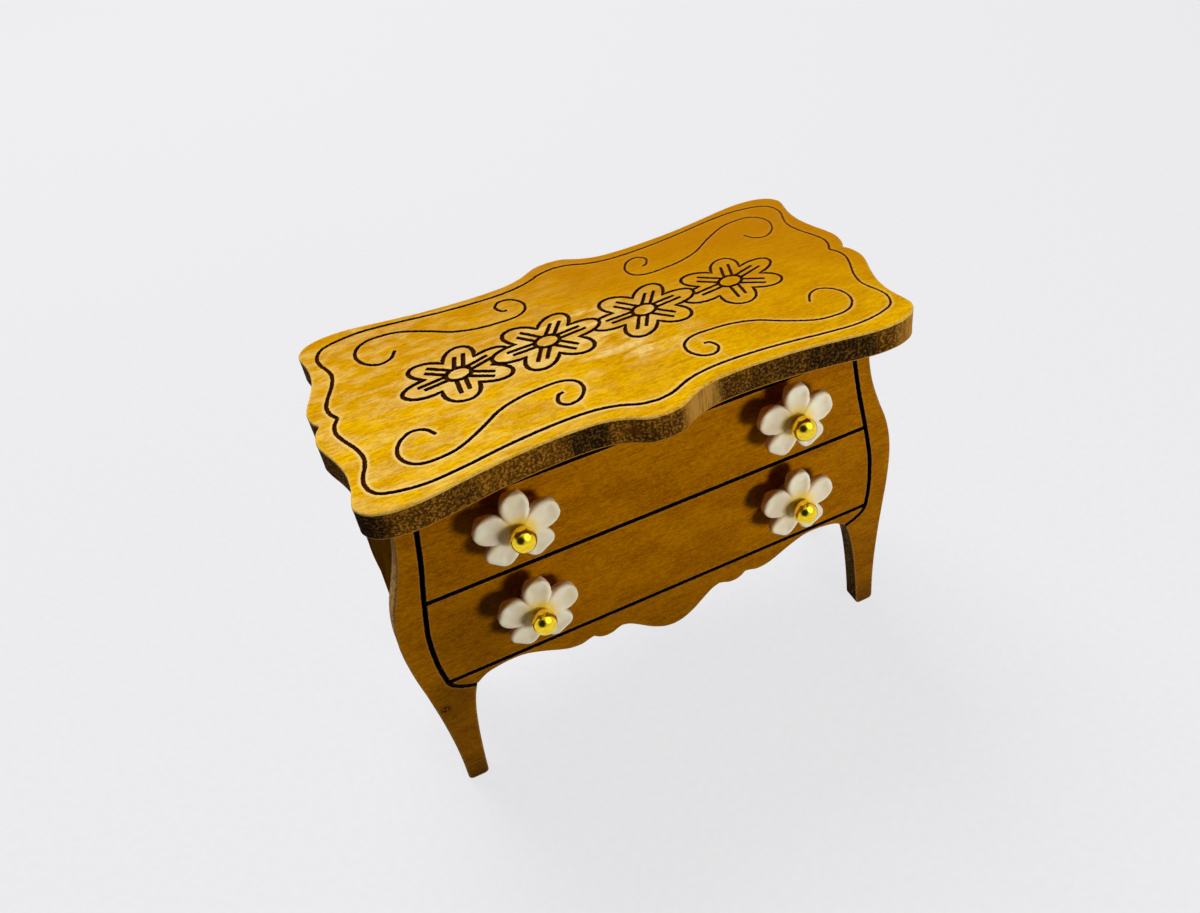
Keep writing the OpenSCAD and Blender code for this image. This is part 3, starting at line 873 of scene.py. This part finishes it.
# Painted shade: the body's stain is a darker copy of the top's gold, standing in for the dimmer
# light on the front and sides.
body_face = stained_wood(
    "honey_body", 2.0, light=(176, 110, 0), mid=(158, 94, 0), deep=(110, 62, 0),
    speck=(198, 130, 0), pale=(172, 128, 64), dark=(24, 12, 4), with_painted_feet_shade=True)
# Painted shade: the side panels get a darker copy of the body's stain for the shade under the
# top's overhang.
shaded_side_face = stained_wood(
    "dark_side", 8.0, light=(112, 70, 6), mid=(92, 54, 4), deep=(60, 32, 2),
    speck=(128, 82, 10), pale=(150, 112, 70), dark=(22, 10, 2), drawn=False,
    shine=0.0)
top_edge = burnt_edge(
    "scorched_top_edge", 3.0, (34, 22, 10), (108, 66, 6), (188, 130, 46), 0.65,
    bright=[((5, -19, 62), (4, 9, 9)), ((39, -17, 62), (8, 8, 9))],
    burnt=[((-39, -17, 62), (5, 9, 7)), ((26, -19, 62), (6, 5, 6)), ((-10, -19, 62), (4, 5, 7))])
frame_face_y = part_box("front_frame")[0].y / MM
body_edge = burnt_edge("scorched_edge", 4.0, (46, 26, 8), (232, 172, 92), (250, 206, 134), 0.8,
                       face_y=frame_face_y)
back_edge = burnt_edge("scorched_back_edge", 7.0, (48, 30, 10), (120, 78, 26), (184, 136, 76), 0.7)
charred = burnt_edge("charred_edge", 6.0, (16, 8, 3), (30, 15, 6), (70, 40, 14), 0.4)
inner_wood = raw_wood("bare_wood", 5.0)
ivory = ivory_bead("ivory_resin")
gold = gold_plate("gold_plate")

board("top_board", FACING_UP, ease=0.3, wall_steps=8, wobble=0.05, seed=11,
      materials=(top_face, top_edge, body_face))
board("front_frame", FACING_FRONT, ease=0.14, wall_steps=5, wobble=0.03, seed=12,
      charred="holes", materials=(body_face, body_edge, body_face, charred))
board("back_board", FACING_BACK, ease=0.14, wall_steps=5, wobble=0.03, seed=13,
      materials=(body_face, back_edge, body_face))
for k, name in enumerate(("upper_drawer_front", "lower_drawer_front")):
    board(name, FACING_FRONT, ease=0.10, wall_steps=4, wobble=0.02, seed=14 + k,
          charred="all", materials=(body_face, body_edge, inner_wood, charred))

for name, node_object in NODES.items():
    if name.endswith("side_panel"):
        finish = shaded_side_face
    elif name in ("divider_board", "bottom_board") or "_drawer_" in name:
        finish = inner_wood
    else:
        continue
    node_object.data.materials.clear()
    node_object.data.materials.append(finish)
    bevel = node_object.modifiers.new("eased_edges", "BEVEL")
    bevel.width = 0.12 * MM
    bevel.segments = 2
    bevel.limit_method = "ANGLE"
    bevel.angle_limit = math.radians(35)

for k, row in enumerate(("upper", "lower")):
    for side in ("left", "right"):
        flower_bead(f"{row}_{side}_flower", ivory, 30 + 2 * k + (side == "left"))
        ball_pin(f"{row}_{side}_pin", gold)


# ---- Studio --------------------------------------------------------------------------

# How much the paper seems to glow, and how bright the room's soft light is
FLOOR_LIFT = 0.90
ROOM_LIGHT = 0.0023
# Directions in which shiny parts see a dark gap and a window
DARK_SIDE = (-0.52, -0.62, 0.59)
WINDOW = (0.54, -0.54, 0.64)
# Point that the lamps look at, and the camera's place, in metres
CHEST_MIDDLE = (0, 0, 0.035)
CAMERA_PLACE = (-0.03675, -0.11403, 0.14424)


def studio_floor():
    """Pale paper. It looks lifted to the camera and to polished parts, as in a light box,
    but throws only a little light back up at the chest."""
    s = Shader("pale_paper")
    fibres = s.noise(s.stretch((0.8, 0.8, 0.8)), 1.0, 3.0)
    paths = s.tree.nodes.new("ShaderNodeLightPath")
    seen = s.math("MAXIMUM", paths.outputs["Is Camera Ray"], paths.outputs["Is Glossy Ray"])
    paper = s.mix(s.band(fibres, 0.3, 0.7), (234, 234, 236), (236, 236, 238))
    tone = s.mix(seen, (132, 132, 134), s.mix(1.0, paper, (88, 88, 88), "MULTIPLY"))
    material = s.surface(
        Base_Color=tone, Roughness=0.9, Specular_IOR_Level=0.0, Emission_Color=paper,
        Emission_Strength=s.times(seen, FLOOR_LIFT))
    mesh = bpy.data.meshes.new("floor")
    half = 3.0
    mesh.from_pydata([(-half, -half, 0), (half, -half, 0), (half, half, 0), (-half, half, 0)],
                     [], [(0, 1, 2, 3)])
    mesh.materials.append(material)
    floor = bpy.data.objects.new("floor", mesh)
    bpy.context.scene.collection.objects.link(floor)


def soft_light(name, azimuth, elevation, distance, size, power):
    """Square area light that looks at the chest's middle from a direction in degrees."""
    a, e = math.radians(azimuth), math.radians(elevation)
    away = Vector((math.sin(a) * math.cos(e), -math.cos(a) * math.cos(e), math.sin(e)))
    light = bpy.data.lights.new(name, "AREA")
    light.size = size
    light.energy = power
    lamp = bpy.data.objects.new(name, light)
    lamp.location = Vector(CHEST_MIDDLE) + away * distance
    lamp.rotation_euler = away.to_track_quat("Z", "Y").to_euler()
    lamp.visible_glossy = False
    bpy.context.scene.collection.objects.link(lamp)


def studio_camera():
    """Camera above the chest's left front, a little tilted, as the chest is seen."""
    azimuth, elevation, roll = math.radians(-20.8), math.radians(39.0), math.radians(-7.22)
    back = Vector((math.sin(azimuth) * math.cos(elevation),
                   -math.cos(azimuth) * math.cos(elevation), math.sin(elevation)))
    right = (-back).cross(Vector((0, 0, 1))).normalized()
    up = right.cross(-back)
    tilted_right = math.cos(roll) * right + math.sin(roll) * up
    tilted_up = -math.sin(roll) * right + math.cos(roll) * up
    data = bpy.data.cameras.new("camera")
    data.sensor_width = 36.0
    data.lens = 31.58
    data.shift_x = -0.0506
    data.shift_y = -0.0306
    data.clip_start = 0.01
    camera = bpy.data.objects.new("camera", data)
    turn = Matrix((tilted_right, tilted_up, back)).transposed().to_4x4()
    camera.matrix_world = Matrix.Translation(CAMERA_PLACE) @ turn
    bpy.context.scene.collection.objects.link(camera)
    bpy.context.scene.camera = camera


def studio_world():
    """Dim room for soft light. Shiny parts see bright walls, with a dark gap beside the
    camera and a window to the right."""
    world = bpy.data.worlds.new("studio")
    world.use_nodes = True
    nodes, links = world.node_tree.nodes, world.node_tree.links
    where = nodes.new("ShaderNodeTexCoord")

    def toward(direction, low, high, to_low, to_high):
        """A smooth step around a direction."""
        dot = nodes.new("ShaderNodeVectorMath")
        dot.operation = "DOT_PRODUCT"
        dot.inputs[1].default_value = direction
        links.new(where.outputs["Generated"], dot.inputs[0])
        step = nodes.new("ShaderNodeMapRange")
        step.interpolation_type = "SMOOTHSTEP"
        for socket, number in zip(list(step.inputs)[1:5], (low, high, to_low, to_high)):
            socket.default_value = number
        links.new(dot.outputs["Value"], step.inputs[0])
        return step.outputs[0]

    bright = nodes.new("ShaderNodeMath")
    bright.operation = "ADD"
    links.new(toward(DARK_SIDE, 0.93, 0.70, 0.02, 0.7), bright.inputs[0])
    links.new(toward(WINDOW, 0.84, 0.97, 0.0, 1.6), bright.inputs[1])
    paths = nodes.new("ShaderNodeLightPath")
    pick = nodes.new("ShaderNodeMix")
    pick.inputs[2].default_value = ROOM_LIGHT
    links.new(paths.outputs["Is Glossy Ray"], pick.inputs[0])
    links.new(bright.outputs[0], pick.inputs[3])
    nodes["Background"].inputs["Color"].default_value = (1, 1, 1, 1)
    links.new(pick.outputs[0], nodes["Background"].inputs["Strength"])
    bpy.context.scene.world = world


studio_floor()
studio_world()
soft_light("overhead", azimuth=190, elevation=58, distance=0.9, size=0.5, power=10.8)
soft_light("front", azimuth=25, elevation=4, distance=0.30, size=0.08, power=0.55)
studio_camera()
bpy.context.scene.view_settings.view_transform = "Standard"
